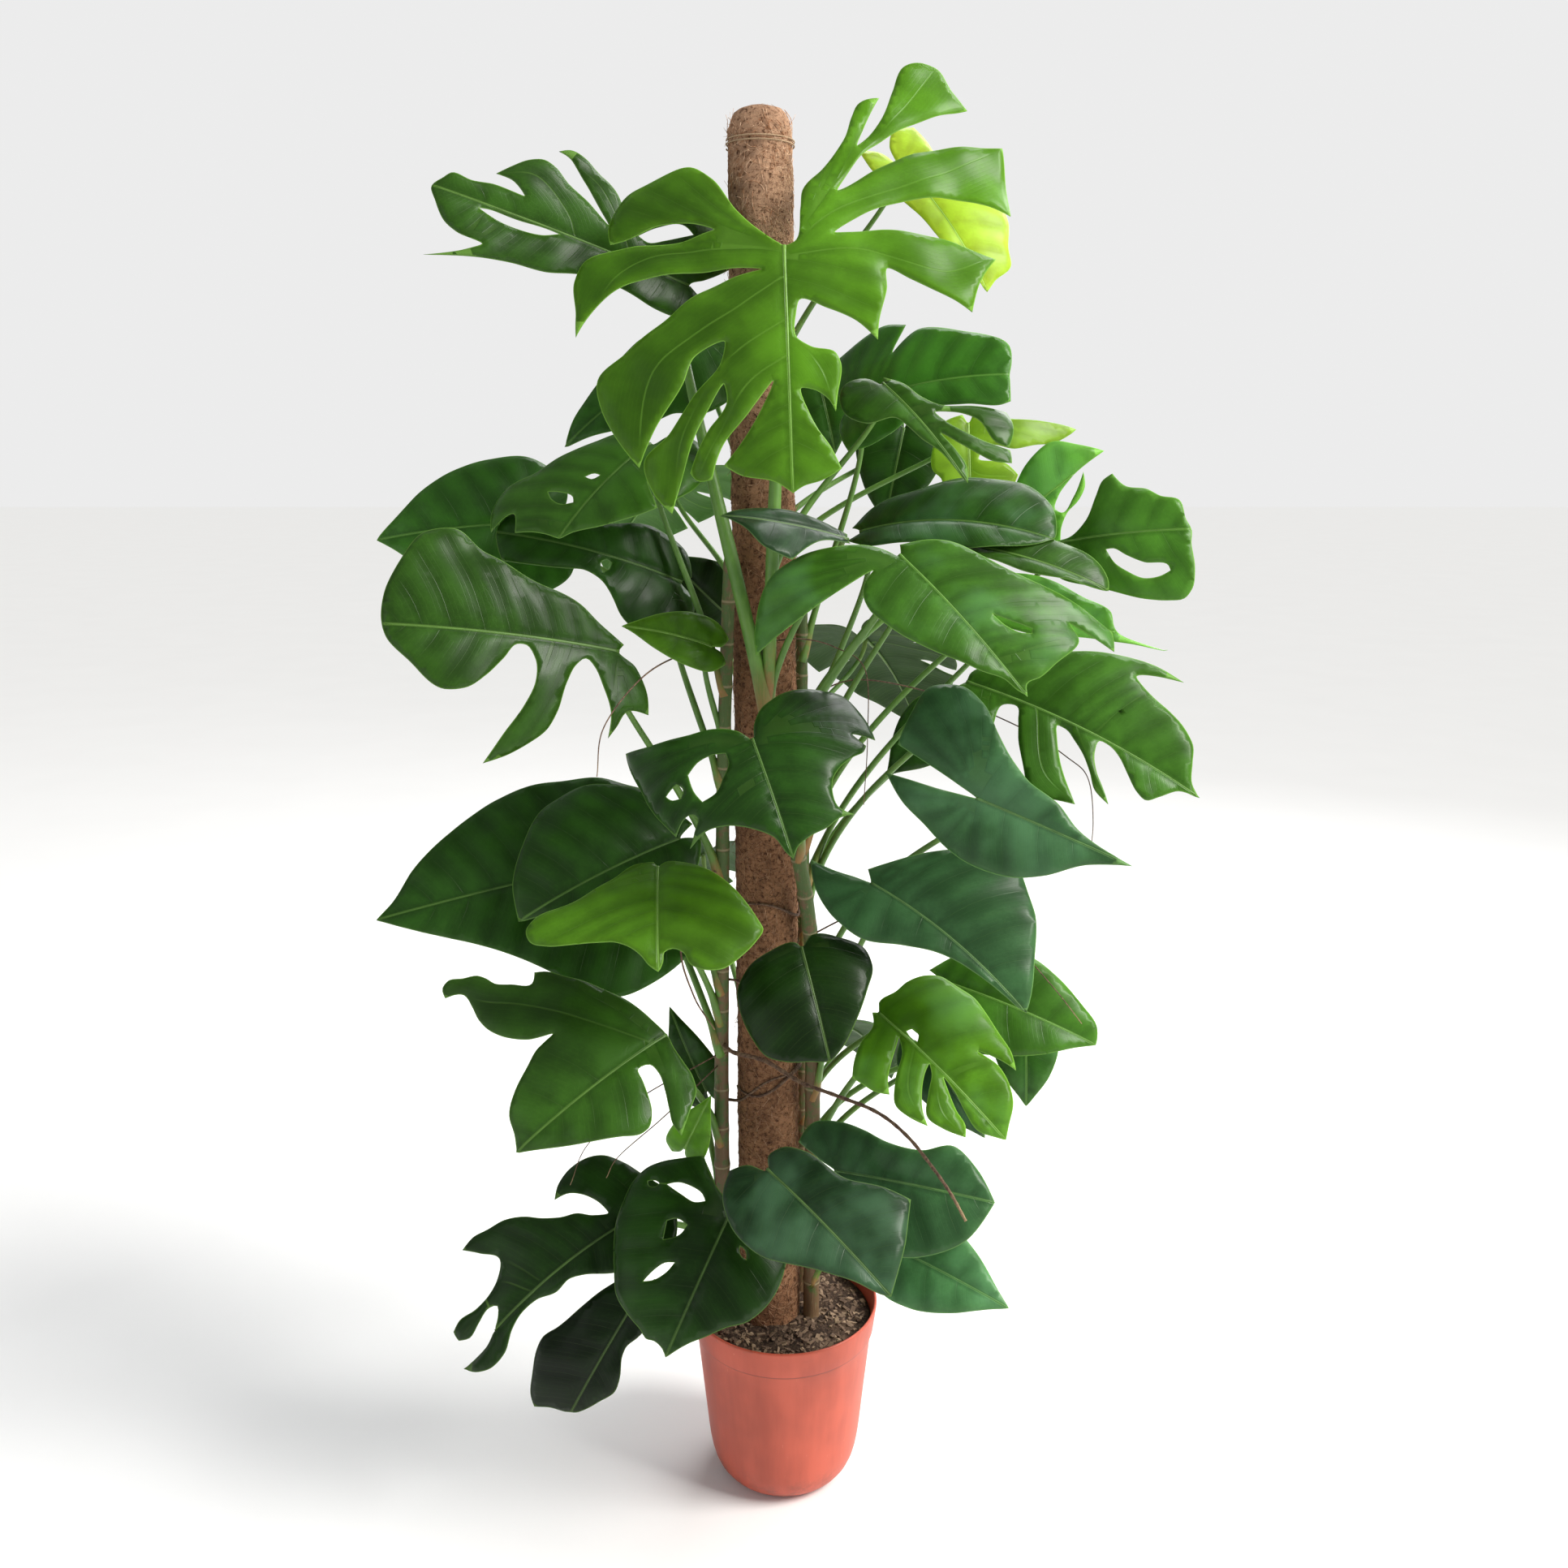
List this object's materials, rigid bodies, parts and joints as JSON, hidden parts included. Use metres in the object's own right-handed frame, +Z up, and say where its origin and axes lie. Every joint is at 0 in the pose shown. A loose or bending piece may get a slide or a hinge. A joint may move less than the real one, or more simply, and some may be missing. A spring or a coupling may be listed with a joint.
{
  "type": "potted swiss cheese plant",
  "caption": "Climbing swiss cheese plant with split, holed leaves on a round coir pole, rooted in soil in a terracotta-coloured plastic nursery pot.",
  "frame": {"origin": "centre of the pot's flat underside", "axes": "+Z up along the pot and the coir pole, -Y towards the front that the picture shows, +X to its right"},
  "size_m": [0.9807, 0.6471, 1.7831],
  "materials": {
    "pot": "satin terracotta-coloured moulded plastic",
    "soil": "moist peat and bark potting mix",
    "coir": "matted coconut fibre",
    "stake": "plain round wood",
    "twine": "twisted fibre",
    "stem": "green bark and leaf stalk",
    "leaf_lime": "young leaf, satin",
    "leaf_bright": "glossy leaf",
    "leaf_mid": "glossy leaf",
    "leaf_dark": "glossy leaf",
    "leaf_teal": "glossy leaf with a bluish sheen"
  },
  "bodies": {
    "root": {"pot": "pot", "soil": "soil", "coir_sleeve": "coir", "stake": "stake", "twine": "twine", "stem_left": "stem", "stem_front": "stem", "stem_right": "stem", "stem_back": "stem", "leaf_01": "leaf_bright", "leaf_02": "leaf_lime", "leaf_03": "leaf_mid", "leaf_04": "leaf_dark", "leaf_05": "leaf_dark", "leaf_06": "leaf_mid", "leaf_07": "leaf_lime", "leaf_08": "leaf_mid", "leaf_09": "leaf_dark", "leaf_10": "leaf_dark", "leaf_11": "leaf_mid", "leaf_12": "leaf_bright", "leaf_13": "leaf_dark", "leaf_14": "leaf_mid", "leaf_15": "leaf_dark", "leaf_16": "leaf_teal", "leaf_17": "leaf_mid", "leaf_18": "leaf_mid", "leaf_19": "leaf_mid", "leaf_20": "leaf_mid", "leaf_21": "leaf_teal", "leaf_22": "leaf_dark", "leaf_23": "leaf_teal", "leaf_24": "leaf_dark", "leaf_25": "leaf_dark", "leaf_26": "leaf_bright", "leaf_27": "leaf_dark", "leaf_28": "leaf_mid", "leaf_29": "leaf_bright", "leaf_30": "leaf_dark", "leaf_31": "leaf_bright", "leaf_32": "leaf_mid", "leaf_33": "leaf_dark", "leaf_34": "leaf_teal", "leaf_35": "leaf_dark", "leaf_36": "leaf_dark", "leaf_37": "leaf_dark", "leaf_38": "leaf_teal", "leaf_39": "leaf_teal", "leaf_40": "leaf_teal", "leaf_41": "leaf_mid", "leaf_42": "leaf_mid", "leaf_43": "leaf_dark", "leaf_44": "leaf_dark", "leaf_45": "leaf_dark", "leaf_46": "leaf_mid", "leaf_47": "leaf_dark", "leaf_48": "leaf_dark"}
  },
  "joints": []
}
